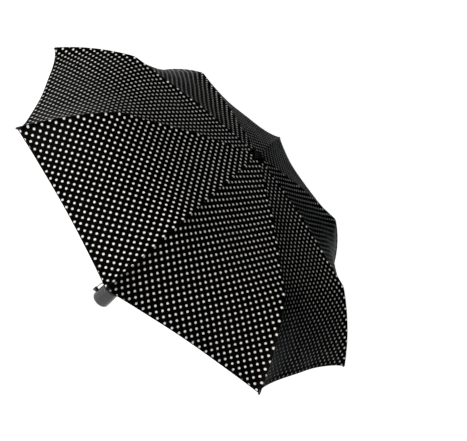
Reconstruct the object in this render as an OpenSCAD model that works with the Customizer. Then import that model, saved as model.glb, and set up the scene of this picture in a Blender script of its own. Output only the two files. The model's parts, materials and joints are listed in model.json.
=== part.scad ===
// Children's three-fold umbrella with eight ribs, open. Millimetres.
// +Z runs up the shaft to the crown. The origin is the centre of the handle's end face.

/* [Canopy frame] */
// Height of the crown's rib pivots with the shaft pulled out
crown_z = 512; // [505:1:515]
// Radius of the wire rings that the ribs and the struts turn on
pivot_r = 10; // [10:0.5:11]
// Inner rib, pivot to pivot
inner_l = 150; // [148:1:152]
// Middle rib, pivot to pivot
middle_l = 155; // [152:1:156]
// Outer rib, pivot to end, along its curve
outer_l = 179; // [170:1:180]
// Slope of the inner rib below the horizontal, open
inner_slope = 7.5; // [6:0.5:9]
// Slope of the middle rib, open
middle_slope = 12.5; // [11:0.5:14]
// Slope at the start of the outer rib, open
outer_start = 33; // [30:1:36]
// Slope at the tip of the outer rib, open
outer_end = 51; // [48:1:54]
// Strut, pivot to pivot; its rib pivot lies as far from the crown pivot
strut_l = 78; // [76:1:80]
// Drop of the strut pivot below the line of the rib's own pivots
strut_drop = 4.35; // [4.3:0.05:4.6]

/* [Cover] */
// Thickness of a gore
cloth_t = 0.3; // [0.2:0.05:0.4]
// How far the middle of a hem is drawn in towards the apex
hem_dip = 7; // [4:1:14]
// How far a gore hangs in between two ribs, as a share of its width there
gore_sag = 0.01; // [0:0.005:0.03]

/* [Shaft] */
// Outer radius of the top tube
tube_r = 6; // [5.9:0.05:6]
// Wall of each tube
tube_wall = 0.6; // [0.5:0.05:0.7]
// Radial play between two tubes
tube_play = 0.08; // [0.05:0.01:0.1]
// Travel of each telescoping joint
travel = 135; // [130:0.5:136]

/* [Handle] */
// Length of the handle
handle_l = 62; // [60:1:62]
// Largest diameter, near the end
handle_d = 42; // [40:1:44]
// Diameter at the rim
rim_d = 40; // [39:0.5:41]
// Depth of the cup in the rim
cup_depth = 24; // [22:1:25]

/* [Hidden] */
RIBS = [1:8];
$fn = 48;

// ---- hinges: tongue between two cheeks, on a pin ----
pin_r = 0.6;
pin_play = 0.06;
tongue = 1;            // half thickness of a tongue
cheek_in = 1.15;       // half gap of a fork
cheek_out = 1.75;      // half width of a fork
eye_r = 2;             // round end of a tongue
fork_r = 2.2;          // round end of a fork
lift = 2.2;            // pin to the middle of the rib that it carries
setback = 4.5;         // pin to the start of a channel

// ---- channels ----
rib_w = 3.5;
rib_h = 2.6;
mid_w = 3.1;
mid_h = 2.4;
strut_w = 3.1;
strut_h = 2.4;
sheet = 0.5;
wire_r = 1;            // outer rib
tip_r = 2;             // cap on the rib's end
tip_l = 9;

// ---- rib plane: points are [radius, height]; slopes are positive downwards ----
function dir(a) = [cos(a), -sin(a)];
function up(a) = [sin(a), cos(a)];
outer_chord = (outer_start + outer_end) / 2;
bend = outer_end - outer_start;
arc_r = outer_l / (bend * PI / 180);
chord_l = 2 * arc_r * sin(bend / 2);
crown_p = [pivot_r, crown_z];
elbow_p = crown_p + inner_l * dir(inner_slope);
knee_p = elbow_p + middle_l * dir(middle_slope);
drop_a = asin(strut_drop / strut_l);
strut_p = crown_p + strut_l * dir(inner_slope + drop_a);
strut_slope = 180 - inner_slope - drop_a;
runner_z = crown_z - 2 * strut_l * sin(inner_slope + drop_a);
closed_drop = 2 * strut_l;          // runner pivots below the crown pivots, folded
function azimuth(k) = 45 * (k - 1) - 90;

// ---- shaft ----
top_in = tube_r - tube_wall;
mid_out = top_in - tube_play;
mid_in = mid_out - tube_wall;
low_out = mid_in - tube_play;
low_in = low_out - tube_wall;
tubes_foot = 42;                    // lower ends of both sliding tubes, folded
plug_drop = 5;                      // crown pivots down to the end of the crown's plug
top_foot = tubes_foot + 2 * travel;
mid_foot = tubes_foot - 1 + travel;
mid_top = crown_z - 2 * travel - plug_drop - 1 + travel;
low_top = crown_z - 2 * travel - plug_drop - 2;
low_foot = 12;

// ---- crown, runner and lock ----
hub_r = 11.6;
hub_h = 5.2;
slot_w = 2.5;
slot_floor = 7.7;
ring_groove = 0.65;
sleeve_r = 8;
sleeve_up = 8;
grip_r = 9.8;
grip_l = 24;
lock_az = 22.5;
lock_drop = 13;
lock_h = 3;                         // height of the lock's plate
lock_w = 16;                        // width of the lock's plate
lock_gap = 0.15;

// ---- cover above the ribs ----
seat = 4;                           // underside of the cover above the crown pivots
elbow_seat = 3.1;                   // above the elbow pin
knee_seat = 4.3;                    // above the knee pin
tip_seat = 4.7;                     // above the chord of the outer rib, at both its ends
hole_r = 6.9;                       // round the top tube
seam_gap = 0.2;                     // half gap between neighbouring gores

// ---- strap: a flat ribbon and its middle line, clear of the handle by half its thickness ----
strap_w = 5;
strap_t = 1.6;
neck_r = 18.6;
neck_z = 50;
strap_off = neck_r + strap_t / 2 + 0.2;
anchor_z = 12;

module turned(points) { rotate_extrude($fn = 96) polygon(points); }
module tube(out, in, foot, top) {
    translate([0, 0, foot]) difference() {
        cylinder(r = out, h = top - foot);
        translate([0, 0, -1]) cylinder(r = in, h = top - foot + 2);
    }
}
// a plate in the rib plane, half thickness t, drawn in [along, up]
module plate(t) { rotate([90, 0, 0]) translate([0, 0, -t]) linear_extrude(2 * t) children(); }
module cross_pin(r, half) { rotate([90, 0, 0]) translate([0, 0, -half]) cylinder(r = r, h = 2 * half); }
// a folded sheet channel between two points of the rib plane; side = 1 has its web up, -1 down
module channel(a, b, w, h, side) {
    l = norm(b - a);
    translate([a[0], 0, a[1]]) rotate([0, -atan2(b[1] - a[1], b[0] - a[0]), 0])
        rotate([90, 0, 90]) linear_extrude(l) difference() {
            square([w, h], center = true);
            translate([0, -side * sheet]) square([w - 2 * sheet, h], center = true);
        }
}
// puts a rib part into its own plane: k is the rib, p the pivot, a the slope of its pivot line
module in_plane(k, p, a) {
    rotate([0, 0, azimuth(k)]) translate([p[0], 0, p[1]]) rotate([0, a, 0]) children();
}
// a fork's two cheeks from the end of a channel to the pin at x = 0; back is the channel's x
module cheeks(back, z, h) {
    for (s = [-1, 1]) translate([0, s * (cheek_in + cheek_out) / 2, 0])
        plate((cheek_out - cheek_in) / 2) {
            circle(r = fork_r);
            polygon([[0, -fork_r], [0, fork_r], [back, z + h / 2], [back * 1.6, z + h / 2],
                     [back * 1.6, z - h / 2], [back, z - h / 2]]);
        }
}
module eye(front, z, h) {
    difference() {
        plate(tongue) {
            circle(r = eye_r);
            polygon([[0, -eye_r], [0, eye_r], [front, z + h / 2], [front * 1.6, z + h / 2],
                     [front * 1.6, z - h / 2], [front, z - h / 2]]);
        }
        cross_pin(pin_r + pin_play, 3);
    }
}
module ring_eye(front, h) {
    difference() {
        plate(tongue) { circle(r = eye_r); translate([0, -h / 2]) square([front * 1.6, h]); }
        cross_pin(pin_r + 2 * pin_play, 3);
    }
}

// ---- ribs ----
module rib_inner(k) {
    color("#b9bcc0") in_plane(k, crown_p, inner_slope) {
        ring_eye(setback, rib_h - 1);
        channel([setback, 0], [inner_l - setback, -lift], rib_w, rib_h, 1);
        translate([inner_l, 0, 0]) cheeks(-setback, -lift, rib_h);
        translate([inner_l, 0, 0]) cross_pin(pin_r, cheek_out + 0.3);
        // lug that carries the strut
        translate([strut_l * cos(drop_a), 0, -strut_drop]) {
            plate(0.6) {
                circle(r = 1.5);
                translate([-1.5, 0]) square([3, strut_drop]);
            }
            cross_pin(pin_r, cheek_out + 0.2);
        }
    }
}
module rib_middle(k) {
    color("#b9bcc0") in_plane(k, elbow_p, middle_slope) {
        eye(setback, -lift, mid_h - 0.4);
        channel([setback, -lift], [middle_l - setback, lift], mid_w, mid_h, 1);
        translate([middle_l, 0, 0]) cheeks(-setback, lift, mid_h);
        translate([middle_l, 0, 0]) cross_pin(pin_r, cheek_out + 0.3);
    }
}
module rib_outer(k) {
    color("#c8cace") in_plane(k, knee_p, outer_chord) {
        eye(3, lift, 2 * wire_r);
        // a wire bent to an arc, and the moulded cap on its end
        translate([chord_l / 2, 0, lift - arc_r * cos(bend / 2)]) {
            rotate([90, 0, 0]) rotate([0, 0, 90 - bend / 2]) rotate_extrude(angle = bend, $fn = 96)
                translate([arc_r, 0]) circle(r = wire_r);
            rotate([0, bend / 2, 0]) translate([0, 0, arc_r]) rotate([0, 90, 0]) {
                translate([0, 0, -tip_l + 2]) cylinder(r = tip_r, h = tip_l - 2);
                sphere(r = tip_r);
            }
        }
    }
}
module strut(k) {
    color("#a9acb1") in_plane(k, strut_p, strut_slope) {
        difference() {
            for (s = [-1, 1]) translate([0, s * (cheek_in + cheek_out) / 2 - s * 0.25, 0])
                plate((cheek_out - cheek_in) / 2) {
                    circle(r = 1.6);
                    translate([0, -strut_h / 2 + 0.2]) square([6, strut_h - 0.4]);
                }
            cross_pin(pin_r + pin_play, 3);
        }
        channel([3.5, 0], [strut_l - setback, 0], strut_w, strut_h, 1);
        translate([strut_l, 0, 0]) rotate([0, 180, 0]) ring_eye(setback, strut_h - 0.8);
    }
}

// ---- cover ----
// the cover's line over a rib: from the hole, over the crown, elbow and knee, to the tip
outer_c = knee_p + chord_l / 2 * dir(outer_chord) - (arc_r * cos(bend / 2) - tip_seat) * up(outer_chord);
line_inner = [crown_p + seat * [0, 1], elbow_p + elbow_seat * up(inner_slope / 2 + middle_slope / 2)];
line_knee = knee_p + knee_seat * up(middle_slope + 2);
arc_steps = 6;
rib_line = concat(
    [[hole_r, crown_z + seat]], [line_inner[0] + [0.5, 0]],
    [for (i = [1:3]) line_inner[0] + (line_inner[1] - line_inner[0]) * i / 3],
    [for (i = [1:3]) line_inner[1] + (line_knee - line_inner[1]) * i / 3],
    [for (i = [1:arc_steps]) outer_c + arc_r * up(outer_start + bend * i / arc_steps)]
);
rows = len(rib_line);
cols = 8;
// a point at the share u of the rib line, by its own length
function piece_l(i) = norm(rib_line[i + 1] - rib_line[i]);
function run_l(i) = i == 0 ? 0 : run_l(i - 1) + piece_l(i - 1);
line_l = run_l(rows - 1);
function on_line(s, i = 0) =
    i >= rows - 2 || s <= piece_l(i)
        ? rib_line[i] + (rib_line[i + 1] - rib_line[i]) * s / piece_l(i)
        : on_line(s - piece_l(i), i + 1);
// the hem's draw fades to nothing at the top of the gore
function drawn(i, v) = run_l(i) - hem_dip * 4 * v * (1 - v) * pow(run_l(i) / line_l, 3);
// across a gore the cover is straight but for its sag, square to its own middle line
function gore_point(k, i, v, t) =
    let (s = drawn(i, v), p = on_line(s), g = on_line(s + 2) - on_line(s - 2),
         half = p[0] * sin(22.5), y = (half - seam_gap) * (2 * v - 1),
         out = [-g[1], g[0] * cos(22.5)] / norm([g[1], g[0] * cos(22.5)]),
         deep = t - gore_sag * 2 * half * 4 * v * (1 - v),
         x = p[0] * cos(22.5) + deep * out[0], z = p[1] + deep * out[1], a = azimuth(k) + 22.5)
    [x * cos(a) - y * sin(a), x * sin(a) + y * cos(a), z];
module canopy_panel(k) {
    n = cols + 1;
    low = [for (i = [0:rows - 1], j = [0:cols]) gore_point(k, i, j / cols, 0)];
    high = [for (i = [0:rows - 1], j = [0:cols]) gore_point(k, i, j / cols, cloth_t)];
    m = rows * n;
    rim = concat([for (j = [0:cols - 1]) j], [for (i = [0:rows - 2]) i * n + cols],
                 [for (j = [cols:-1:1]) (rows - 1) * n + j], [for (i = [rows - 1:-1:1]) i * n]);
    r = len(rim);
    cells = [for (i = [0:rows - 2], j = [0:cols - 1]) i * n + j];
    color("#15130f") polyhedron(concat(low, high), concat(
        [for (c = cells) [c, c + n, c + n + 1]],
        [for (c = cells) [c, c + n + 1, c + 1]],
        [for (c = cells) [m + c, m + c + n + 1, m + c + n]],
        [for (c = cells) [m + c, m + c + 1, m + c + n + 1]],
        [for (e = [0:r - 1]) [rim[e], rim[(e + 1) % r], m + rim[(e + 1) % r]]],
        [for (e = [0:r - 1]) [rim[e], m + rim[(e + 1) % r], m + rim[e]]]
    ));
}

// ---- crown and runner ----
module wire_ring(z) {
    translate([0, 0, z]) rotate_extrude($fn = 96) translate([pivot_r, 0]) circle(r = pin_r, $fn = 24);
}
module ring_cuts() {
    rotate_extrude($fn = 96) translate([pivot_r, 0]) circle(r = ring_groove, $fn = 24);
    for (k = RIBS) rotate([0, 0, azimuth(k)]) translate([slot_floor, -slot_w / 2, -hub_h])
        cube([hub_r, slot_w, 2 * hub_h]);
}
module crown_hub() {
    color("#202020") translate([0, 0, crown_z]) difference() {
        union() {
            translate([0, 0, -hub_h / 2]) cylinder(r = hub_r, h = hub_h, $fn = 96);
            translate([0, 0, -hub_h / 2 - 3]) cylinder(r = sleeve_r, h = 4);
        }
        translate([0, 0, -20]) cylinder(r = tube_r + 0.03, h = 40);
        ring_cuts();
        rotate([0, 0, lock_az]) rotate([90, 0, 0]) translate([0, -4, -20]) cylinder(r = 0.8, h = 40);
    }
}
module crown_wire() { color("#c8cace") wire_ring(crown_z); }
module crown_pin() {
    color("#c8cace") translate([0, 0, crown_z - 4]) rotate([0, 0, lock_az]) rotate([90, 0, 0])
        translate([0, 0, -sleeve_r + 0.2]) cylinder(r = 0.76, h = 2 * sleeve_r - 0.4);
}
module cap_washer() {
    color("#303030") tube(9, tube_r + 0.03, crown_z + hub_h / 2 + 0.15, crown_z + seat - 0.3);
}
cap_r = 9.5;
cap_foot = crown_z + seat + cloth_t + 0.15;
cap_top = crown_z + 12;
module top_cap() {
    color("#18181a") difference() {
        turned([[0, cap_foot], [cap_r - 0.4, cap_foot], [cap_r, cap_foot + 0.6], [cap_r, cap_foot + 1.6],
                [cap_r - 0.8, cap_foot + 3.2], [cap_r - 2.6, cap_foot + 5.2], [cap_r - 5.2, cap_top - 0.5],
                [2.2, cap_top], [0, cap_top]]);
        translate([0, 0, cap_foot - 1]) cylinder(r = tube_r + 0.05, h = 4);
    }
}
// the lock: a plate round the tube with a press pad on one side and a tooth on the other
module lock_place() { translate([0, 0, runner_z - lock_drop]) rotate([0, 0, lock_az]) children(); }
module runner() {
    color("#18181a") difference() {
        translate([0, 0, runner_z]) difference() {
            union() {
                translate([0, 0, -hub_h / 2]) cylinder(r = hub_r, h = hub_h, $fn = 96);
                translate([0, 0, -1]) cylinder(r = sleeve_r, h = sleeve_up + 1);
                turned([[0, -grip_l], [grip_r - 1, -grip_l], [grip_r, -grip_l + 1], [grip_r, -4.5],
                        [grip_r - 1, -3], [grip_r - 1, 0], [0, 0]]);
            }
            translate([0, 0, -50]) cylinder(r = tube_r + tube_play, h = 100);
            ring_cuts();
        }
        lock_place() translate([-8.8, -lock_w / 2 - lock_gap, -lock_h / 2 - lock_gap])
            cube([30, lock_w + 2 * lock_gap, lock_h + 2 * lock_gap]);
    }
}
module runner_wire() { color("#c8cace") wire_ring(runner_z); }
module runner_button() {
    color("#2a2a2c") lock_place() {
        difference() {
            union() {
                intersection() {
                    translate([-8.6, -lock_w / 2, -lock_h / 2]) cube([18, lock_w, lock_h]);
                    cylinder(r = grip_r - 0.1, h = 10, center = true, $fn = 96);
                }
                translate([6.5, -4, -lock_h / 2]) cube([4.7, 8, lock_h]);
            }
            translate([-1.15, 0, 0]) cylinder(r = 6.25, h = 10, center = true);
            cylinder(r = 6.25, h = 10, center = true);
            translate([-1.15, -6.25, -5]) cube([1.15, 12.5, 10]);
        }
        translate([-7.9, -1.2, -1.1]) cube([1.6, 2.4, 2.2]);
    }
}

// ---- shaft ----
module lower_tube() {
    color("#c3c5c9") difference() {
        tube(low_out, low_in, low_foot, low_top);
        translate([0, 0, 24]) rotate([0, 90, 0]) cylinder(r = 1.05, h = 30, center = true);
    }
}
module middle_tube() { color("#c3c5c9") tube(mid_out, mid_in, mid_foot, mid_top); }
module top_tube() {
    color("#c3c5c9") difference() {
        tube(tube_r, top_in, top_foot, crown_z + 7.2);
        for (z = [runner_z, crown_z - closed_drop]) translate([0, 0, z - lock_drop]) rotate([0, 0, lock_az])
            translate([-tube_r - 1, -1.5, -1.4]) cube([3, 3, 2.8]);
        translate([0, 0, crown_z - 4]) rotate([0, 0, lock_az]) rotate([90, 0, 0])
            translate([0, 0, -20]) cylinder(r = 0.8, h = 40);
    }
}

// ---- handle ----
cup_r = 16;
core_r = 9;
cap_plate = 3;
module handle_shell() {
    r = handle_d / 2;
    q = rim_d / 2;
    color("#1c1c1e") difference() {
        turned([[0, 0.6], [r - 6, 0], [r - 3, 0.4], [r - 1.2, 1.6], [r - 0.3, 3.6], [r, 6], [r - 0.1, 14],
                [r - 0.7, 30], [r - 1.3, 42], [neck_r + 0.9, 44.5], [neck_r, 46.5], [neck_r, 53.5],
                [neck_r + 0.9, 55.5], [q, 57.5], [q, handle_l - 1.2], [q - 1.2, handle_l],
                [cup_r + 0.8, handle_l], [cup_r, handle_l - 0.8], [cup_r, handle_l - cup_depth],
                [0, handle_l - cup_depth]]);
        // seat for the end cap, room round the core, and the core's own seat
        translate([0, 0, -1]) cylinder(r = 14.1, h = cap_plate + 1.1, $fn = 96);
        translate([0, 0, 2]) cylinder(r = 13, h = 28, $fn = 96);
        translate([0, 0, 25]) cylinder(r = core_r + 0.05, h = 20, $fn = 96);
        translate([-r - 1, 0, anchor_z]) rotate([0, 90, 0]) cylinder(r = 1.55, h = 6);
    }
}
module handle_end_cap() {
    color("#242426") difference() {
        turned([[0, 0], [13.2, 0], [14, 0.5], [14, cap_plate], [0, cap_plate]]);
        translate([0, 0, cap_plate - 1.2]) tube(12, 10, 0, 5);
    }
}
module handle_core() {
    color("#3a3a3c") difference() {
        translate([0, 0, cap_plate + 0.1]) cylinder(r = core_r, h = handle_l - cup_depth - cap_plate - 0.1);
        translate([0, 0, low_foot - 0.1]) cylinder(r = low_out + 0.02, h = 60);
        translate([0, 0, 24]) rotate([0, 90, 0]) cylinder(r = 1.05, h = 30, center = true);
    }
}
module tube_pin() {
    color("#c8cace") translate([0, 0, 24]) rotate([0, 90, 0])
        cylinder(r = 1, h = 2 * core_r - 0.6, center = true);
}
anchor_out = handle_d / 2 + 8.6;
anchor_w = 10.4;
module strap_anchor() {
    color("#1c1c1e") {
        translate([-anchor_out + 3.4, 0, anchor_z]) rotate([90, 0, 0])
            translate([0, 0, -anchor_w / 2]) cylinder(r = 3.4, h = anchor_w);
        translate([-anchor_out + 3.4, -anchor_w / 2, anchor_z - 2.3])
            cube([anchor_out - 3.4 - handle_d / 2, anchor_w, 4.6]);
        translate([-handle_d / 2 + 3.2, 0, anchor_z]) rotate([0, -90, 0]) cylinder(r = 1.5, h = 5);
    }
}

// ---- strap: two runs up the side of the handle and one turn round its neck ----
strap_steps = 16;
strap_side = [[-26.2, 2.8, 15.4], [-25.4, 2.8, 18], [-23.8, 2.8, 22], [-22.4, 2.8, 27], [-21.6, 2.8, 32],
              [-21.2, 3.0, 38], [-20.6, 4.6, 44]];
strap_turn = [for (i = [1:strap_steps - 1]) let (a = 180 - i * 360 / strap_steps)
    [strap_off * cos(a), strap_off * sin(a), neck_z]];
function other_side(p) = [p[0], -p[1], p[2]];
strap_route = concat(strap_side, strap_turn,
    [for (i = [len(strap_side) - 1:-1:0]) other_side(strap_side[i])]);
module wrist_strap() {
    n = len(strap_route);
    sides = 8;
    function along(i) = strap_route[min(i + 1, n - 1)] - strap_route[max(i - 1, 0)];
    function unit(v) = v / norm(v);
    function side_of(i) = unit(cross(along(i), [strap_route[i][0], strap_route[i][1], 0]));
    function ring(i) = let (s = side_of(i), o = unit(cross(s, along(i))))
        [for (j = [0:sides - 1]) strap_route[i]
            + strap_w / 2 * cos(j * 360 / sides) * s + strap_t / 2 * sin(j * 360 / sides) * o];
    color("#141414") polyhedron([for (i = [0:n - 1]) each ring(i)], concat(
        [[for (j = [0:sides - 1]) j]],
        [for (i = [0:n - 2], j = [0:sides - 1]) let (a = i * sides, b = a + sides, t = (j + 1) % sides)
            [a + j, b + j, b + t, a + t]],
        [[for (j = [sides - 1:-1:0]) (n - 1) * sides + j]]
    ));
}

handle_shell();
handle_end_cap();
handle_core();
tube_pin();
strap_anchor();
wrist_strap();
lower_tube();
middle_tube();
top_tube();
crown_hub();
crown_wire();
crown_pin();
runner();
runner_wire();
runner_button();
top_cap();
cap_washer();
for (k = RIBS) rib_inner(k);
for (k = RIBS) rib_middle(k);
for (k = RIBS) rib_outer(k);
for (k = RIBS) strut(k);
for (k = RIBS) canopy_panel(k);
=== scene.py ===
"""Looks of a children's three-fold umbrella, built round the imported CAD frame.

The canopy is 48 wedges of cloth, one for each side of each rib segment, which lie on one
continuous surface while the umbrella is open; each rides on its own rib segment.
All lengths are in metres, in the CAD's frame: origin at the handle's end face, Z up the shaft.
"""
import json
import math

import bpy
import numpy as np
from mathutils import Matrix, Vector


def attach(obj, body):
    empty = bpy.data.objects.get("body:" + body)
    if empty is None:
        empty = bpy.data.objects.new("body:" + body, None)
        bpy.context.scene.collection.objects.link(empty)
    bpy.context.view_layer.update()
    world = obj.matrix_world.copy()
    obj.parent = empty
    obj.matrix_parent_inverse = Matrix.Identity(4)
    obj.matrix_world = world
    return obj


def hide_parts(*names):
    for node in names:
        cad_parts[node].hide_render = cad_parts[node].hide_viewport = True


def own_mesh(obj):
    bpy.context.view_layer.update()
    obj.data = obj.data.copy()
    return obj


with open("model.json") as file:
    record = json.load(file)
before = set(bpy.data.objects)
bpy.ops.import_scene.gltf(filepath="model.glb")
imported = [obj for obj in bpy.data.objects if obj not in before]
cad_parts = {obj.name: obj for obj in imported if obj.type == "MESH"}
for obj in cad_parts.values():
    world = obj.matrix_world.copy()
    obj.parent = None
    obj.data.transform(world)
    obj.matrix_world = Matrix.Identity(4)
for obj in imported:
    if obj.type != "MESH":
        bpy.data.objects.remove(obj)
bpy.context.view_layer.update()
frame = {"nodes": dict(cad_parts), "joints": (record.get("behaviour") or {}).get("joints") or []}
JOINTS = {j["name"]: j for j in frame["joints"]}
MM = 0.001
RIBS = range(1, 9)
TURN = math.radians(45)                      # between neighbouring ribs
COS, SIN = math.cos(TURN / 2), math.sin(TURN / 2)    # from a rib to the middle of its gore


# ---------------------------------------------------------------- camera
def rotated(axis, angle, vector):
    return Matrix.Rotation(angle, 3, axis) @ vector


def make_camera():
    """The photograph's view: slightly above the canopy's rim, with the object leaning to the left."""
    azimuth, elevation, roll = math.radians(0.74), math.radians(26.98), math.radians(47.4)
    yaw, pitch = math.radians(2.188), math.radians(-0.811)
    distance, focal_share, sensor = 1.808, 1.86724, 36.0
    aim = Vector((0, 0, 0.342))
    away = Vector((math.sin(azimuth) * math.cos(elevation), -math.cos(azimuth) * math.cos(elevation),
                   math.sin(elevation)))
    look = -away
    right = look.cross(Vector((0, 0, 1))).normalized()
    over = right.cross(look)
    across = right * math.cos(roll) + over * math.sin(roll)
    down = right * math.sin(roll) - over * math.cos(roll)
    turn = down * yaw + across * pitch
    look, across, down = (rotated(turn.normalized(), turn.length, v) for v in (look, across, down))
    data = bpy.data.cameras.new("camera")
    data.sensor_width = sensor
    data.lens = sensor * focal_share
    data.clip_start, data.clip_end = 0.01, 200
    camera = bpy.data.objects.new("camera", data)
    bpy.context.scene.collection.objects.link(camera)
    columns = Matrix((across, -down, -look)).transposed()
    camera.matrix_world = Matrix.Translation(aim + away * distance) @ columns.to_4x4()
    bpy.context.scene.camera = camera


make_camera()


# ---------------------------------------------------------------- meshes from arrays
def new_object(name, verts, faces, normals=None, uvs=None, attributes=None, slots=None, sharp=None):
    """A mesh object. normals and uvs hold one row for each face corner; attributes one for each vertex."""
    mesh = bpy.data.meshes.new(name)
    mesh.from_pydata([tuple(v) for v in verts], [], [tuple(f) for f in faces])
    for title, rows in (uvs or {}).items():
        mesh.uv_layers.new(name=title).data.foreach_set("uv", np.asarray(rows, np.float32).ravel())
    for title, rows in (attributes or {}).items():
        made = mesh.attributes.new(title, "FLOAT_VECTOR", "POINT")
        made.data.foreach_set("vector", np.asarray(rows, np.float32).ravel())
    if slots is not None:
        mesh.polygons.foreach_set("material_index", np.asarray(slots, np.int32))
    mesh.shade_smooth()
    if normals is not None:
        mesh.normals_split_custom_set([tuple(n) for n in normals])
    elif sharp is not None:
        mesh.set_sharp_from_angle(angle=math.radians(sharp))
    mesh.update()
    made = bpy.data.objects.new(name, mesh)
    bpy.context.scene.collection.objects.link(made)
    return made


def unit(v):
    """Rows of v made one long."""
    return v / np.maximum(np.linalg.norm(v, axis=-1, keepdims=True), 1e-12)


# ---------------------------------------------------------------- wrist strap
def strap_route():
    """The ribbon's middle line: up one side of the handle, round its neck, and down again."""
    # in mm: one strand from the ear to the neck
    side = [(-26.2, 2.8, 15.4), (-26.3, 2.8, 18), (-26.4, 2.8, 22), (-26.3, 2.8, 27), (-25.8, 2.8, 32),
            (-24.6, 3.2, 38), (-22.0, 5.0, 44)]
    steps, turn_r, neck_z = 16, 19.6, 50
    turn = [(turn_r * math.cos(a), turn_r * math.sin(a), neck_z)
            for a in (math.pi - i * 2 * math.pi / steps for i in range(1, steps))]
    back = [(x, -y, z) for x, y, z in reversed(side)]
    return np.array(side + turn + back) * MM


def smooth_line(points, per=4):
    """A Catmull-Rom line through points, with `per` steps between each two."""
    p = np.vstack([2 * points[0] - points[1], points, 2 * points[-1] - points[-2]])
    out = []
    for i in range(1, len(p) - 2):
        for t in np.arange(per) / per:
            a, b, c, d = p[i - 1], p[i], p[i + 1], p[i + 2]
            out.append(0.5 * (2 * b + (c - a) * t + (2 * a - 5 * b + 4 * c - d) * t * t
                              + (3 * b - a - 3 * c + d) * t ** 3))
    return np.array(out + [points[-1]])


def make_strap():
    width, thick, edge_r = 4.8 * MM, 1.0 * MM, 0.32 * MM
    line = smooth_line(strap_route())
    along = unit(np.gradient(line, axis=0))
    radial = line * np.array([1, 1, 0])
    side = unit(np.cross(along, radial))
    face = unit(np.cross(side, along))
    run = np.r_[0, np.cumsum(np.linalg.norm(np.diff(line, axis=0), axis=1))]
    # a rounded strip with a thicker selvedge along both edges
    half, t = width / 2, thick / 2
    ring = [(-half, 0), (-half + edge_r * 0.3, t * 0.8), (-half + edge_r, t), (-half + 2 * edge_r, t),
            (-half + 2.6 * edge_r, t * 0.78), (0, t * 0.74), (half - 2.6 * edge_r, t * 0.78),
            (half - 2 * edge_r, t), (half - edge_r, t), (half - edge_r * 0.3, t * 0.8), (half, 0)]
    ring += [(x, -y) for x, y in ring[-2:0:-1]]
    n = len(ring)
    verts = np.concatenate([line[i] + np.outer([x for x, _ in ring], side[i])
                            + np.outer([y for _, y in ring], face[i]) for i in range(len(line))])
    faces, uv = [], []
    for i in range(len(line) - 1):
        for j in range(n):
            k = (j + 1) % n
            faces.append((i * n + j, i * n + k, (i + 1) * n + k, (i + 1) * n + j))
            uv += [(ring[j][0], run[i]), (ring[k][0], run[i]),
                   (ring[k][0], run[i + 1]), (ring[j][0], run[i + 1])]
    last = (len(line) - 1) * n
    faces += [tuple(range(n))[::-1], tuple(last + j for j in range(n))]
    uv += [(0.0, 0.0)] * (2 * n)
    strap = new_object("wrist_strap_ribbon", verts, faces, uvs={"ribbon": uv}, sharp=50)
    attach(strap, "handle")
    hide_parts("wrist_strap")
    return strap


strap = make_strap()


# ---------------------------------------------------------------- the canopy's surface
def pivot(joint):
    """Radius and height of a joint's pivot."""
    x, y, z = JOINTS[joint]["pos_m"]
    return np.array([math.hypot(x, y), z])


def up(angle):
    """Direction square to a rib that slopes down by angle, as radius and height."""
    return np.array([math.sin(angle), math.cos(angle)])


def ahead(angle):
    """Direction along that rib, away from the crown."""
    return np.array([math.cos(angle), -math.sin(angle)])


CROWN, ELBOW, KNEE = pivot("fold"), pivot("elbow_1"), pivot("knee_1")
SLOPE = {"inner": math.atan2(CROWN[1] - ELBOW[1], ELBOW[0] - CROWN[0]),
         "middle": math.atan2(ELBOW[1] - KNEE[1], KNEE[0] - ELBOW[0]), "outer": math.radians(42)}
OUTER_L, OUTER_BEND = 0.179, math.radians(18)    # the outer rib is an arc
ARC_R = OUTER_L / OUTER_BEND
# how far the cloth lies above the crown's pivots, the elbow's, the knee's and the outer rib's wire
SEAT, ELBOW_SEAT, KNEE_SEAT, TIP_SEAT = 4 * MM, 3.1 * MM, 4.3 * MM, 4.7 * MM
HOLE_R = 6.9 * MM                            # the hole in the cloth that the shaft's top goes through
HEM_DIP, GORE_SAG = 7 * MM, 0.01             # at a gore's middle; the sag is a share of its width
RIDGE, TIP_RIDGE = 3 * MM, 9 * MM            # how far cloth falls away beside a rib, and more at its tip
RIDGE_REACH, TIP_RIDGE_REACH = 9 * MM, 17 * MM
SEAM_FADE = 7 * MM                           # the cloth's waves die out within this of a rib
PUCKER, PUCKER_WAVE, PUCKER_REACH = 0.34 * MM, 5.1 * MM, 11 * MM    # small gathers beside the seams
SWELL, SWELL_WAVE, SWELL_RUN = 0.8 * MM, 21 * MM, 29 * MM    # broad waves, across and down the gore
FLUTTER, FLUTTER_WAVE, SLACK = 0.9 * MM, 33 * MM, 1.2 * MM   # waves along the hem, and the hem's sag
CLOTH_T, SEAM_T, HEM_T = 0.26 * MM, 0.22 * MM, 0.2 * MM      # thickness, and what seam and hem add
SEAM_LINE = 0.5 * MM                         # half width of the groove where two gores meet
SEAM_IN, SEAM_OUT = 2.3 * MM, 2.9 * MM       # the seam allowance's half width, and the foot of its edge
HEM_IN, HEM_OUT = 7.8 * MM, 8.3 * MM         # the turned hem's width, and the foot of its edge
CROWN_CLOTH_R = 15 * MM                      # cloth held between the top cap and its washer
GRID = 0.5 * MM                              # between two points of the rib's line


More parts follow.
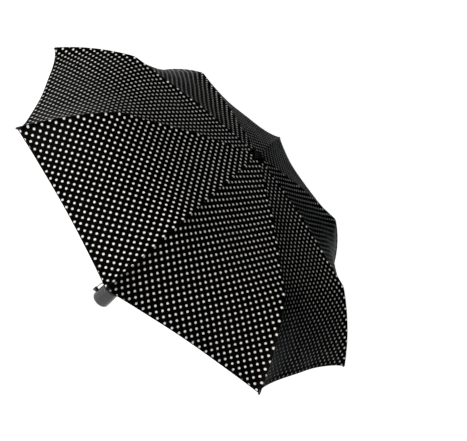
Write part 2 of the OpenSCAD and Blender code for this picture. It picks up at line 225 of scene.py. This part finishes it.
def rib_line():
    """The cover's line over a rib, as evenly spaced points: run, radius, height."""
    start = CROWN + np.array([0, SEAT])
    elbow = ELBOW + ELBOW_SEAT * up((SLOPE["inner"] + SLOPE["middle"]) / 2)
    knee = KNEE + KNEE_SEAT * up(SLOPE["middle"] + math.radians(2))
    chord = 2 * ARC_R * math.sin(OUTER_BEND / 2)
    centre = (KNEE + chord / 2 * ahead(SLOPE["outer"])
              - (ARC_R * math.cos(OUTER_BEND / 2) - TIP_SEAT) * up(SLOPE["outer"]))
    first = SLOPE["outer"] - OUTER_BEND / 2
    arc = [centre + ARC_R * up(first + OUTER_BEND * i / 24) for i in range(1, 25)]
    corners = np.array([[HOLE_R, start[1]], start + np.array([0.5 * MM, 0]), elbow, knee, *arc])
    run = np.r_[0, np.cumsum(np.linalg.norm(np.diff(corners, axis=0), axis=1))]
    even = np.arange(0, run[-1] + GRID / 2, GRID)
    radius, height = (np.interp(even, run, corners[:, i]) for i in (0, 1))
    return even, radius, height, run[2], run[3], run[-1]


RUN, LINE_R, LINE_Z, ELBOW_S, KNEE_S, TIP_S = rib_line()
MARGIN = 160                                 # extra steps at both ends, for the rounding to average
SOFTNESS = np.array([0.8, 2, 4, 7, 11, 16, 22, 30, 42, 56, 72]) * MM    # widths of that average


def beyond(values):
    """values with MARGIN more at both ends, run on in a straight line."""
    first, last = values[1] - values[0], values[-1] - values[-2]
    head = values[0] - first * np.arange(MARGIN, 0, -1)
    tail = values[-1] + last * np.arange(1, MARGIN + 1)
    return np.concatenate([head, values, tail])


def rounded_lines():
    """The rib line rounded by each of SOFTNESS: cloth bridges the bends over elbow and knee."""
    out = []
    for soft in SOFTNESS:
        x = np.arange(-int(3.2 * soft / GRID) - 1, int(3.2 * soft / GRID) + 2) * GRID
        kernel = np.exp(-(x / soft) ** 2 / 2)
        kernel /= kernel.sum()
        pad = len(x) // 2
        out.append([np.convolve(np.pad(beyond(v), pad, "reflect", reflect_type="odd"), kernel, "valid")
                    for v in (LINE_R, LINE_Z)])
    return np.array(out)


ROUNDED = rounded_lines()


def on_line(s, soft):
    """Radius and height of the rounded line at run s, for arrays of s and softness."""
    at = np.clip(s / GRID + MARGIN, 0, ROUNDED.shape[2] - 1.001)
    i = at.astype(int)
    f = at - i
    level = np.interp(soft, SOFTNESS, np.arange(len(SOFTNESS)))
    a = np.minimum(level.astype(int), len(SOFTNESS) - 2)
    g = level - a
    value = [(ROUNDED[a, c, i] * (1 - f) + ROUNDED[a, c, i + 1] * f) * (1 - g)
             + (ROUNDED[a + 1, c, i] * (1 - f) + ROUNDED[a + 1, c, i + 1] * f) * g for c in (0, 1)]
    return value[0], value[1]


def half_width(s):
    """Distance across the gore from the rib to its middle, at run s."""
    return np.interp(s, RUN, LINE_R) * SIN


MIDDLE_W = np.r_[0, np.cumsum(np.hypot(np.diff(LINE_R) * COS, np.diff(LINE_Z)))]


def middle_run(s):
    """Run along the gore's middle line, for the print."""
    return np.interp(s, RUN, MIDDLE_W)


def step_up(a, b, x):
    """0 at a and 1 at b, with a smooth change between."""
    t = np.clip((x - a) / (b - a), 0, 1)
    return t * t * (3 - 2 * t)


def hem_run(share):
    """Run of the hem at a share of the way from the rib to the gore's middle."""
    return TIP_S - HEM_DIP * share * (2 - share)


def cloth(eta, s, side, gore):
    """The underside of the cloth in the gore's own frame: X out along its middle, Y across.
    eta is the distance from the rib across the gore, s the run down the rib, side 1 or -1 for the
    gore's half, and gore its number, which makes each gore's waves its own."""
    half = half_width(s)
    share = np.clip(eta / half, 0, 1.2)
    spread = 1 - np.abs(1 - share) ** 2.5
    soft = np.minimum(0.8 * MM + spread * (0.6 * MM + 0.5 * half), SOFTNESS[-1])
    r, z = on_line(s, soft)
    r1, z1 = on_line(s + MM, soft)
    r0, z0 = on_line(s - MM, soft)
    along = np.stack([(r1 - r0) * COS, z1 - z0], -1)
    along /= np.linalg.norm(along, axis=-1, keepdims=True)
    y = side * (eta - half)
    fade = 1 - np.exp(-(eta / SEAM_FADE) ** 2)
    phase = gore * 2.4
    to_hem = hem_run(share) - s
    puckers = (PUCKER * np.sin(s / PUCKER_WAVE + phase + 0.7 * side) * np.exp(-eta / PUCKER_REACH)
               * step_up(0.02, 0.08, s))
    swell = SWELL * np.sin(y / SWELL_WAVE + phase) * np.sin(s / SWELL_RUN + 1.7 * phase)
    flutter = FLUTTER * np.sin(y / FLUTTER_WAVE - 2 * phase) * step_up(0.06, 0, to_hem)
    broad = (swell + flutter) * step_up(0.03, 0.2, s)
    slack = SLACK * step_up(0.035, 0, to_hem) * np.sin(np.pi * np.minimum(share, 1)) ** 2
    ridge = (RIDGE * (1 - np.exp(-eta / RIDGE_REACH)) * step_up(0.06, 0.2, s)
             + TIP_RIDGE * (1 - np.exp(-eta / TIP_RIDGE_REACH)) * step_up(KNEE_S, TIP_S, s))
    depth = fade * (puckers + broad) - slack - ridge - GORE_SAG * 2 * half * share * (2 - share)
    return np.stack([r * COS - depth * along[..., 1], y, z + depth * along[..., 0]], -1)


def outward(eta, s, side, gore):
    """Unit normal of the cloth; at the rib it lies in the rib's own plane, so both gores meet."""
    d = 0.5 * MM
    low = np.maximum(eta - d, 0)
    across = (cloth(eta + d, s, side, gore) - cloth(low, s, side, gore)) * side
    down = cloth(eta, s + d, side, gore) - cloth(eta, s - d, side, gore)
    n = unit(np.cross(down, across))
    r1, z1 = on_line(s + MM, np.full_like(s, SOFTNESS[0]))
    r0, z0 = on_line(s - MM, np.full_like(s, SOFTNESS[0]))
    t = unit(np.stack([r1 - r0, z1 - z0], -1))
    rib = np.stack([-t[..., 1] * COS, side * t[..., 1] * SIN, t[..., 0]], -1)
    f = step_up(0, 2 * MM, eta)[..., None]
    return unit(rib * (1 - f) + n * f)


def face_of(eta, s, side, gore):
    """The cloth's upper face, with the felled seam along the rib and the turned hem."""
    share = np.clip(eta / half_width(s), 0, 1)
    thick = (CLOTH_T + SEAM_T * step_up(0, SEAM_LINE, eta) * (1 - step_up(SEAM_IN, SEAM_OUT, eta))
             + HEM_T * (1 - step_up(HEM_IN, HEM_OUT, hem_run(share) - s)))
    return cloth(eta, s, side, gore) + outward(eta, s, side, gore) * thick[..., None]


def shading_normal(eta, s, side, gore):
    """Unit normal of the upper face, with seam and hem."""
    d = 0.25 * MM
    low = np.maximum(eta - d, 0)
    across = (face_of(eta + d, s, side, gore) - face_of(low, s, side, gore)) * side
    down = face_of(eta, s + d, side, gore) - face_of(eta, s - d, side, gore)
    return unit(np.cross(down, across))


COLUMNS = 19                                 # of mesh points, from the rib to the gore's middle
CROWN_S = CROWN_CLOTH_R - HOLE_R + 0.1 * MM
# where a segment's cloth gives way to the next one's: the run at the rib, and how much further out
# the line lies at the gore's middle. It is about square to the rib, so that each folded wedge ends
# level with its own joint
LINES = {"hole": (0.0, 0.0), "crown": (CROWN_S, 0.0),
         "elbow": (ELBOW_S, 24.5 * MM), "knee": (KNEE_S, 40 * MM)}
# each segment's first and last line, and its rows of mesh
SEGMENTS = {"crown": ("hole", "crown", 3), "inner": ("crown", "elbow", 20),
            "middle": ("elbow", "knee", 24), "outer": ("knee", "hem", 24)}


def columns(half):
    """Distances from the rib of the mesh's columns, for an array of half widths."""
    line, a, b = (np.minimum(width, share * half)
                  for width, share in ((SEAM_LINE, 0.2), (SEAM_IN, 0.5), (SEAM_OUT, 0.6)))
    rest = [b + (half - b) * (i / (COLUMNS - 4)) ** 1.25 for i in range(1, COLUMNS - 3)]
    return np.stack([0 * half, line, a, b, *rest], -1)


def line_run(name):
    """Run of each column where a dividing line crosses it."""
    if name == "hem":
        half = half_width(np.array(TIP_S))
        return hem_run(columns(half) / half)
    at, shift = LINES[name]
    half = half_width(np.array(at))
    return at + shift * columns(half) / half


def wedge(side, gore, segment):
    """Arrays for one wedge of cloth, in its gore's frame, as a closed thin shell."""
    first, last, rows = SEGMENTS[segment]
    s0, s1 = line_run(first), line_run(last)
    # rows stand closer together at both ends
    even = np.linspace(0, 1, rows + 1)
    t = 0.55 * even + 0.45 * (0.5 - 0.5 * np.cos(np.pi * even))
    if last == "hem":
        tail = np.array([HEM_OUT, HEM_IN, 0.5 * HEM_IN, 0.8 * MM, 0])
        s = np.concatenate([s0 + np.outer(t, s1 - HEM_OUT - s0)[:-1], s1 - tail[:, None]])
    else:
        s = s0 + np.outer(t, s1 - s0)
    eta = np.stack([columns(half_width(s[:, j]))[:, j] for j in range(COLUMNS)], -1)
    low, high = cloth(eta, s, side, gore), face_of(eta, s, side, gore)
    normal = shading_normal(eta, s, side, gore)
    count = s.size
    index = np.arange(count).reshape(s.shape)
    a, b = index[:-1, :-1].ravel(), index[1:, :-1].ravel()
    c, d = index[1:, 1:].ravel(), index[:-1, 1:].ravel()
    top = np.stack([a, b, c, d], -1) if side > 0 else np.stack([a, d, c, b], -1)
    bottom = top[:, ::-1] + count
    rim = np.concatenate([index[0, :], index[1:, -1], index[-1, -2::-1], index[-2:0:-1, 0]])
    ahead_rim = np.roll(rim, -1)
    walls = np.stack([rim, ahead_rim, ahead_rim + count, rim + count], -1)
    if side < 0:
        walls = walls[:, ::-1]
    verts = np.concatenate([high.reshape(-1, 3), low.reshape(-1, 3)])
    faces = np.concatenate([top, bottom, walls])
    both = np.concatenate([normal.reshape(-1, 3), -normal.reshape(-1, 3)])
    quad = verts[walls]
    wall_normal = unit(np.cross(quad[:, 1] - quad[:, 0], quad[:, 3] - quad[:, 0]) + 1e-15)
    corner_normals = np.concatenate([both[np.concatenate([top, bottom])].reshape(-1, 3),
                                     np.repeat(wall_normal, 4, axis=0)])
    flat = np.stack([side * (eta - half_width(s)), middle_run(s)], -1)
    hem = hem_run(eta / half_width(s)) - s
    print_uv = np.tile(flat.reshape(-1, 2), (2, 1))
    edge_uv = np.tile(np.stack([eta, hem], -1).reshape(-1, 2), (2, 1))
    along = unit(cloth(eta, s + MM, side, gore) - cloth(eta, s - MM, side, gore))
    along[..., 1] = 0
    down = np.tile(unit(along).reshape(-1, 3), (2, 1))
    one_diagonal = flat[1:, 1:] - flat[:-1, :-1]
    other_diagonal = flat[:-1, 1:] - flat[1:, :-1]
    area = float(np.abs(np.cross(one_diagonal, other_diagonal)).sum() / 2)
    flat_size = (float(np.ptp(flat[..., 0])), float(np.ptp(flat[..., 1])))
    slots = np.r_[np.zeros(len(top)), np.ones(len(bottom)), np.zeros(len(walls))]
    return {"verts": verts, "faces": faces, "normals": corner_normals, "down": down, "slots": slots,
            "print": print_uv[faces].reshape(-1, 2), "edge": edge_uv[faces].reshape(-1, 2),
            "area": area, "flat": flat_size}


def turned_z(angle, points):
    """points turned about the shaft's line."""
    c, s = math.cos(angle), math.sin(angle)
    return points @ np.array([[c, s, 0], [-s, c, 0], [0, 0, 1]])


def azimuth(k):
    """Direction of rib k, seen from above."""
    return (k - 1) * TURN - math.pi / 2


BODY = {"inner": "inner_{}", "middle": "mid_{}", "outer": "outer_{}"}
# for fold_axis: a folded inner or middle wedge is to gather beside its rib, clear of the steel, and an
# outer one flat against its rib, closing the bundle: the distance from the rib, and the share kept
GATHER = {"inner": (4.7 * MM, 0.015), "middle": (4.7 * MM, 0.015), "outer": (0.0, 0.07)}


def fold_axis(k, side, segment, verts):
    """How a wedge folds: the direction across it, square to the rib, the point it gathers to and
    the share of its width that is kept. In the CAD's frame, at rest."""
    gore_turn = azimuth(k) + side * TURN / 2
    a = SLOPE[segment]
    t = np.array([math.cos(a) * COS, -side * math.cos(a) * SIN, -math.sin(a)])
    c = np.array([0, side, 0])
    n = c - (c @ t) * t
    n /= np.linalg.norm(n)
    held_at = {"inner": 0.5 * ELBOW_S, "middle": 0.5 * (ELBOW_S + KNEE_S),
               "outer": KNEE_S + 0.15 * (TIP_S - KNEE_S)}
    s = np.array(held_at[segment])
    r, z = on_line(s, np.array(SOFTNESS[0]))
    point = np.array([float(r) * COS, -side * float(r) * SIN, float(z)])
    # the cloth hangs away from the rib's own plane, so the direction leans to run through it
    face = np.cross(t, n)
    a, b = (verts - point) @ n, (verts - point) @ face
    lean = 0.5 * math.atan2(2 * float(a @ b), float(a @ a - b @ b))
    n = n * math.cos(lean) + face * math.sin(lean)
    beside, keep = GATHER[segment]
    return turned_z(gore_turn, n), turned_z(gore_turn, point + n * beside), keep


def gore_beside(k, side):
    """Number of the gore on one side of rib k."""
    return k if side > 0 else (k - 2) % 8 + 1


def make_wedges():
    pieces = []
    for k in RIBS:
        for side, word in ((1, "left"), (-1, "right")):
            gore = gore_beside(k, side)
            for segment in ("inner", "middle", "outer"):
                w = wedge(side, gore, segment)
                piece = new_object(f"cover_{k}_{word}_{segment}", w["verts"], w["faces"], w["normals"],
                                   {"print": w["print"], "edge": w["edge"]},
                                   {"rest_at": w["verts"], "down_cloth": w["down"]}, w["slots"])
                piece.rotation_euler = (0, 0, azimuth(k) + side * TURN / 2)
                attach(piece, BODY[segment].format(k))
                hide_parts(f"canopy_panel_{gore}")
                axis, anchor, keep = fold_axis(k, side, segment, w["verts"])
                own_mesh(piece)
                pieces.append(piece)
    return pieces


def make_crown_cloth():
    """The disc of cloth that the top cap holds, as one piece."""
    parts = []
    for k in RIBS:
        for side in (1, -1):
            w = wedge(side, gore_beside(k, side), "crown")
            a = azimuth(k) + side * TURN / 2
            parts.append({**w, "verts": turned_z(a, w["verts"]), "normals": turned_z(a, w["normals"])})
    offsets = np.cumsum([0] + [len(p["verts"]) for p in parts[:-1]])
    faces = np.concatenate([p["faces"] + o for p, o in zip(parts, offsets)])
    verts = np.concatenate([p["verts"] for p in parts])
    stack = {key: np.concatenate([p[key] for p in parts])
             for key in ("normals", "print", "edge", "down", "slots")}
    crown = new_object("cover_crown", verts, faces, stack["normals"],
                       {"print": stack["print"], "edge": stack["edge"]},
                       {"rest_at": verts, "down_cloth": stack["down"]}, stack["slots"])
    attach(crown, "top_shaft")
    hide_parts(*[f"canopy_panel_{k}" for k in RIBS])
    return crown


canopy = [*make_wedges(), make_crown_cloth()]


# ---------------------------------------------------------------- materials
class Shader:
    """A material's node tree, with short calls for the nodes used here. Where a call takes a
    number, it also takes a node's output."""

    def __init__(self, name):
        self.material = bpy.data.materials.new(name)
        self.material.use_nodes = True
        self.tree = self.material.node_tree
        self.tree.nodes.clear()
        self.out = self.tree.nodes.new("ShaderNodeOutputMaterial")
        self.bsdf = self.node("ShaderNodeBsdfPrincipled")
        self.tree.links.new(self.bsdf.outputs[0], self.out.inputs["Surface"])

    def node(self, kind, inputs=None, **settings):
        made = self.tree.nodes.new(kind)
        for key, value in settings.items():
            setattr(made, key, value)
        for key, value in (inputs or {}).items():
            if isinstance(value, bpy.types.NodeSocket):
                self.tree.links.new(value, made.inputs[key])
            else:
                made.inputs[key].default_value = value
        return made

    def set(self, **values):
        for key, value in values.items():
            socket = self.bsdf.inputs[key.replace("_", " ")]
            if isinstance(value, bpy.types.NodeSocket):
                self.tree.links.new(value, socket)
            else:
                socket.default_value = value

    def math(self, operation, *values):
        made = self.node("ShaderNodeMath", operation=operation)
        for socket, value in zip(made.inputs, values):
            if isinstance(value, bpy.types.NodeSocket):
                self.tree.links.new(value, socket)
            else:
                socket.default_value = value
        return made.outputs[0]

    def vector(self, operation, a, b):
        made = self.node("ShaderNodeVectorMath", {0: a, 1: b}, operation=operation)
        return made.outputs["Value" if operation == "DOT_PRODUCT" else 0]

    def noise(self, vector, scale, detail, roughness=0.5):
        return self.node("ShaderNodeTexNoise", {"Vector": vector, "Scale": scale, "Detail": detail,
                                               "Roughness": roughness}).outputs["Fac"]

    def spread(self, value, low, high, to_low=0.0, to_high=1.0, smooth=False):
        made = self.node("ShaderNodeMapRange", {"Value": value, "From Min": low, "From Max": high,
                                                "To Min": to_low, "To Max": to_high},
                         interpolation_type="SMOOTHSTEP" if smooth else "LINEAR")
        return made.outputs[0]

    def mix(self, factor, a, b):
        made = self.node("ShaderNodeMix", data_type="RGBA")
        for socket, value in ((made.inputs[0], factor), (made.inputs[6], a), (made.inputs[7], b)):
            if isinstance(value, bpy.types.NodeSocket):
                self.tree.links.new(value, socket)
            else:
                socket.default_value = value if isinstance(value, float) else (*value, 1.0)
        return made.outputs[2]

    def bump(self, height, distance, strength, normal=None):
        inputs = {"Height": height, "Distance": distance, "Strength": strength}
        if normal is not None:
            inputs["Normal"] = normal
        return self.node("ShaderNodeBump", inputs).outputs[0]

    def place(self):
        return self.node("ShaderNodeTexCoord").outputs["Object"]

    def stretched(self, vector, scale):
        return self.node("ShaderNodeMapping", {"Vector": vector, "Scale": scale}).outputs[0]


PITCH = 15.5 * MM                            # of the printed spots; every second row is set over by half
SPOT_R = 2.26 * MM
THREAD, STITCH = 0.36 * MM, 2.6 * MM         # the weave's pitch, and the sewing's
SEAM_ROW, HEM_ROW = 1.55 * MM, 6.6 * MM      # the rows of stitches, from the seam and from the hem


def shaded(factor, colour):
    """colour made lighter or darker."""
    return tuple(min(1.0, factor * c) for c in colour)


def cloth_material(name, ground, spot, sheen, roughness, seam_thread):
    """Woven cloth with printed spots, which stay put in the cloth as it gathers. seam_thread is how
    much of the seam's stitching shows."""
    m = Shader(name)
    place = m.place()
    rest = m.node("ShaderNodeAttribute", attribute_name="rest_at").outputs["Vector"]
    down = m.node("ShaderNodeAttribute", attribute_name="down_cloth").outputs["Vector"]
    moved = m.vector("SUBTRACT", place, rest)
    uv = m.node("ShaderNodeSeparateXYZ", {0: m.node("ShaderNodeUVMap", uv_map="print").outputs[0]})
    edge = m.node("ShaderNodeSeparateXYZ", {0: m.node("ShaderNodeUVMap", uv_map="edge").outputs[0]})
    across = m.math("ADD", uv.outputs[0], m.node("ShaderNodeSeparateXYZ", {0: moved}).outputs[1])
    along = m.math("ADD", uv.outputs[1], m.vector("DOT_PRODUCT", moved, down))
    flat = m.node("ShaderNodeCombineXYZ", {0: across, 1: along}).outputs[0]
    # the distance to the nearest spot: two square lattices, one set over by half both ways
    wobble = m.math("MULTIPLY", m.math("SUBTRACT", m.noise(flat, 900.0, 1.0), 0.5), 0.35 * MM)
    nearest = None
    for shift in (0.0, 0.5):
        parts = []
        for value in (across, along):
            cell = m.math("FRACT", m.math("ADD", m.math("DIVIDE", value, PITCH), 0.5 + shift))
            parts.append(m.math("MULTIPLY", m.math("SUBTRACT", cell, 0.5), PITCH))
        far = m.math("SQRT", m.math("ADD", m.math("MULTIPLY", parts[0], parts[0]),
                                    m.math("MULTIPLY", parts[1], parts[1])))
        nearest = far if nearest is None else m.math("MINIMUM", nearest, far)
    inked = m.spread(m.math("ADD", nearest, wobble), SPOT_R + 0.3 * MM, SPOT_R - 0.3 * MM, smooth=True)
    off_seam = m.spread(edge.outputs[0], 0.5 * SEAM_LINE, SEAM_LINE, smooth=True)
    off_edge = m.spread(edge.outputs[1], 1.1 * MM, 1.5 * MM, smooth=True)
    inked = m.math("MULTIPLY", m.math("MULTIPLY", inked, off_seam), off_edge)
    # plain weave: warp and weft threads passing over and under one another
    warp = m.math("SINE", m.math("MULTIPLY", across, 2 * math.pi / THREAD))
    weft = m.math("SINE", m.math("MULTIPLY", along, 2 * math.pi / THREAD))
    weave = m.math("MULTIPLY", warp, weft)
    slub = m.noise(m.stretched(flat, (1400.0, 90.0, 1.0)), 1.0, 2.0)
    cloudy = m.noise(place, 9.0, 3.0)
    # stitches: one row along each side of the seam, and one along the hem
    dash = m.spread(m.math("SINE", m.math("MULTIPLY", along, 2 * math.pi / STITCH)), -0.35, 0.1)
    dash_hem = m.spread(m.math("SINE", m.math("MULTIPLY", across, 2 * math.pi / STITCH)), -0.35, 0.1)
    from_row = m.math("ABSOLUTE", m.math("SUBTRACT", edge.outputs[0], SEAM_ROW))
    seam_row = m.spread(from_row, 0.24 * MM, 0.1 * MM)
    from_row = m.math("ABSOLUTE", m.math("SUBTRACT", edge.outputs[1], HEM_ROW))
    hem_row = m.spread(from_row, 0.26 * MM, 0.1 * MM)
    stitches = m.math("MAXIMUM", m.math("MULTIPLY", m.math("MULTIPLY", dash, seam_row), seam_thread),
                      m.math("MULTIPLY", dash_hem, hem_row))
    dark = m.mix(m.spread(cloudy, 0.3, 0.7), shaded(0.82, ground), shaded(1.2, ground))
    dark = m.mix(m.math("MULTIPLY", m.spread(slub, 0.55, 0.8), 0.35), dark, shaded(1.7, ground))
    light = m.mix(m.spread(m.noise(flat, 2600.0, 1.0), 0.35, 0.65), shaded(0.9, spot), spot)
    colour = m.mix(inked, dark, light)
    colour = m.mix(m.math("MULTIPLY", stitches, 0.8), colour, (0.012, 0.012, 0.0125))
    height = m.math("ADD", m.math("MULTIPLY", weave, 0.5), m.math("MULTIPLY", slub, 0.6))
    normal = m.bump(height, 0.03 * MM, 0.6)
    normal = m.bump(inked, 0.015 * MM, 0.5, normal)
    normal = m.bump(stitches, 0.18 * MM, 0.9, normal)
    m.set(Base_Color=colour, Roughness=m.spread(inked, 0, 1, roughness, roughness + 0.12), Normal=normal)
    m.set(Sheen_Weight=sheen, Sheen_Roughness=0.35, Sheen_Tint=(0.5, 0.8, 0.8, 1),
          Specular_IOR_Level=0.012, Specular_Tint=(1, 0.86, 0.76, 1))
    return m.material


def ribbon_material():
    m = Shader("strap_ribbon_woven")
    uv = m.node("ShaderNodeSeparateXYZ", {0: m.node("ShaderNodeUVMap", uv_map="ribbon").outputs[0]})
    ribs = m.math("SINE", m.math("MULTIPLY", uv.outputs[1], 2 * math.pi / (0.8 * MM)))
    threads = m.math("SINE", m.math("MULTIPLY", uv.outputs[0], 2 * math.pi / (0.45 * MM)))
    weave = m.math("MULTIPLY", m.math("ADD", ribs, 1.0), m.math("ADD", threads, 1.6))
    fuzz = m.noise(m.place(), 1500.0, 2.0)
    colour = m.mix(m.spread(weave, 0.0, 4.0), (0.006, 0.006, 0.0065), (0.022, 0.021, 0.023))
    colour = m.mix(m.math("MULTIPLY", m.spread(fuzz, 0.6, 0.8), 0.4), colour, (0.045, 0.044, 0.047))
    m.set(Base_Color=colour, Roughness=0.72, Normal=m.bump(weave, 0.05 * MM, 0.7))
    m.set(Sheen_Weight=0.3, Sheen_Roughness=0.4)
    return m.material


def plastic_material(name, colour, roughness, grain, depth, shine=0.5):
    """Moulded plastic: faint flow marks, fine grain, and light rubbing where it is handled.
    grain is how fine the skin's bumps are, and depth is their height."""
    m = Shader(name)
    place = m.place()
    flow = m.noise(m.stretched(place, (60.0, 60.0, 18.0)), 1.0, 4.0)
    skin = m.noise(place, grain, 3.0, 0.6)
    rubs = m.spread(m.noise(m.stretched(place, (900.0, 900.0, 120.0)), 1.0, 5.0, 0.7), 0.6, 0.72)
    shade = m.mix(m.spread(flow, 0.3, 0.7), shaded(0.8, colour), shaded(1.25, colour))
    shade = m.mix(m.math("MULTIPLY", rubs, 0.22), shade, shaded(3.2, colour))
    rough = m.math("ADD", m.spread(flow, 0.25, 0.75, *roughness), m.math("MULTIPLY", rubs, 0.1))
    m.set(Base_Color=shade, Roughness=rough, Normal=m.bump(skin, depth, 0.5))
    m.set(Specular_IOR_Level=shine)
    return m.material


def steel_material(name, colour, roughness, grain, spangle=0.0):
    """Metal with streaks along it or blotches over it. grain is the streaks' stretch in X, Y and Z,
    and spangle is the blotches' share."""
    m = Shader(name)
    place = m.place()
    streak = m.noise(m.stretched(place, grain), 1.0, 4.0, 0.65)
    blot = m.node("ShaderNodeTexVoronoi", {"Vector": place, "Scale": 420.0}, feature="F1").outputs["Color"]
    patch = m.node("ShaderNodeSeparateXYZ", {0: blot}).outputs[0]
    tarnish = m.noise(place, 38.0, 4.0)
    tone = m.math("ADD", m.math("MULTIPLY", streak, 1 - spangle), m.math("MULTIPLY", patch, spangle))
    shade = m.mix(m.spread(tone, 0.25, 0.75), shaded(0.8, colour), shaded(1.12, colour))
    shade = m.mix(m.math("MULTIPLY", m.spread(tarnish, 0.56, 0.75), 0.35), shade, (0.3, 0.285, 0.265))
    m.set(Base_Color=shade, Metallic=1.0, Roughness=m.spread(tone, 0.2, 0.8, *roughness),
          Normal=m.bump(streak, 0.01 * MM, 0.4))
    return m.material


COVER_TOP = cloth_material("cover_cloth_face", (0.0013, 0.001, 0.0009), (0.87, 0.865, 0.855),
                           sheen=0.0, roughness=0.42, seam_thread=0.0)
COVER_UNDER = cloth_material("cover_cloth_back", (0.0032, 0.003, 0.003), (0.26, 0.26, 0.255),
                             sheen=0.02, roughness=0.6, seam_thread=1.0)
for piece in canopy:
    piece.data.materials.append(COVER_TOP)
    piece.data.materials.append(COVER_UNDER)
strap.data.materials.append(ribbon_material())

GLOSS = plastic_material("handle_plastic", (0.019, 0.019, 0.02), roughness=(0.22, 0.34),
                         grain=1500.0, depth=0.015 * MM)
SATIN = plastic_material("fitting_plastic", (0.02, 0.02, 0.022), roughness=(0.38, 0.52),
                         grain=2600.0, depth=0.03 * MM)
CAP = plastic_material("cap_plastic", (0.003, 0.003, 0.0033), roughness=(0.55, 0.7),
                       grain=2600.0, depth=0.03 * MM, shine=0.08)
TIP = plastic_material("tip_plastic", (0.012, 0.012, 0.013), roughness=(0.25, 0.36),
                       grain=1800.0, depth=0.012 * MM)
TUBE = steel_material("plated_tube", (0.64, 0.65, 0.67), roughness=(0.16, 0.3),
                      grain=(900.0, 900.0, 9.0))
CHANNEL = steel_material("galvanised_channel", (0.5, 0.51, 0.53), roughness=(0.3, 0.46),
                         grain=(240.0, 240.0, 240.0), spangle=0.5)
WIRE = steel_material("drawn_wire", (0.52, 0.53, 0.55), roughness=(0.24, 0.36),
                      grain=(160.0, 160.0, 160.0))
TIP_START_R = 0.434                          # the outer ribs' moulded tips lie beyond it
FINISH = {"moulded_black": GLOSS, "moulded_dark": SATIN, "steel_tube": TUBE, "steel_rib": CHANNEL,
          "spring_wire": WIRE, "canopy_cloth": COVER_TOP, "strap_ribbon": SATIN}


def dress(name, made):
    """Puts the finish on a CAD node whose imported material is named after its slot."""
    slot = next(slot for slot in FINISH if slot in made.data.materials[0].name)
    made.data.materials.clear()
    made.data.materials.append(CAP if name == "top_cap" else FINISH[slot])
    made.data.shade_smooth()
    made.data.set_sharp_from_angle(angle=math.radians(32))
    if name.startswith("rib_outer"):
        made.data.materials.append(TIP)
        for face in made.data.polygons:
            reach = math.hypot(face.center.x, face.center.y)
            face.material_index = int(reach > TIP_START_R)


for node_name, node in frame["nodes"].items():
    dress(node_name, node)


# ---------------------------------------------------------------- floor, backdrop and light
def make_stage():
    floor_z, reach = -0.45, 9.0
    m = Shader("floor_paper")
    place = m.place()
    tone = m.spread(m.noise(place, 3.0, 3.0), 0.3, 0.7)
    m.set(Base_Color=m.mix(tone, (0.5, 0.5, 0.5), (0.54, 0.54, 0.54)), Roughness=0.9,
          Normal=m.bump(m.noise(place, 500.0, 2.0), 0.05 * MM, 0.2))
    m.set(Specular_IOR_Level=0.1, Emission_Color=(1, 1, 1, 1), Emission_Strength=1.0)
    corners = [(x * reach, y * reach, floor_z) for x, y in ((-1, -1), (1, -1), (1, 1), (-1, 1))]
    floor = new_object("floor", corners, [(0, 1, 2, 3)])
    # a white dome stands behind everything, so the horizon doesn't show
    rings, spokes = 10, 48
    ring_angles = [math.pi / 2 * i / rings for i in range(rings)]
    spoke_angles = [2 * math.pi * j / spokes for j in range(spokes)]
    verts = [(reach * math.cos(a) * math.cos(b), reach * math.cos(a) * math.sin(b),
              floor_z - 1 + reach * math.sin(a)) for a in ring_angles for b in spoke_angles]
    faces = [(i * spokes + j, (i + 1) * spokes + j,
              (i + 1) * spokes + (j + 1) % spokes, i * spokes + (j + 1) % spokes)
             for i in range(rings - 1) for j in range(spokes)]
    faces.append([(rings - 1) * spokes + j for j in range(spokes)])
    dome = new_object("backdrop", verts, faces)
    for made in (floor, dome):
        made.data.materials.append(m.material)
        made.visible_diffuse = made.visible_shadow = False
    dome.visible_glossy = False


def area_light(name, place, aim, size, power, tint=(1, 1, 1)):
    """A rectangular lamp at place, facing aim. power is in watts."""
    data = bpy.data.lights.new(name, "AREA")
    data.shape, data.size, data.size_y = "RECTANGLE", *size
    data.energy, data.color = power, tint
    lamp = bpy.data.objects.new(name, data)
    lamp.location = place
    lamp.rotation_euler = (Vector(place) - Vector(aim)).to_track_quat("Z", "Y").to_euler()
    lamp.visible_camera = False
    bpy.context.scene.collection.objects.link(lamp)


def make_light():
    world = bpy.data.worlds.new("studio")
    bpy.context.scene.world = world
    world.use_nodes = True
    background = world.node_tree.nodes["Background"]
    background.inputs["Color"].default_value = (0.6, 0.95, 1, 1)
    background.inputs["Strength"].default_value = 0.018
    area_light("key", (-1.43, -3.28, 1.6), aim=(0, 0, 0.4), size=(1.5, 1.5), power=132,
               tint=(1, 0.985, 0.965))
    area_light("under", (0, 0, -0.4), aim=(0, 0, 0.5), size=(1.2, 1.2), power=3)
    area_light("strip", (2.2, 0.75, 0.1), aim=(0, 0, 0.05), size=(0.1, 1.6), power=1.2)
    view = bpy.context.scene.view_settings
    view.view_transform, view.look, view.exposure, view.gamma = "Standard", "None", 0, 1


make_stage()
make_light()
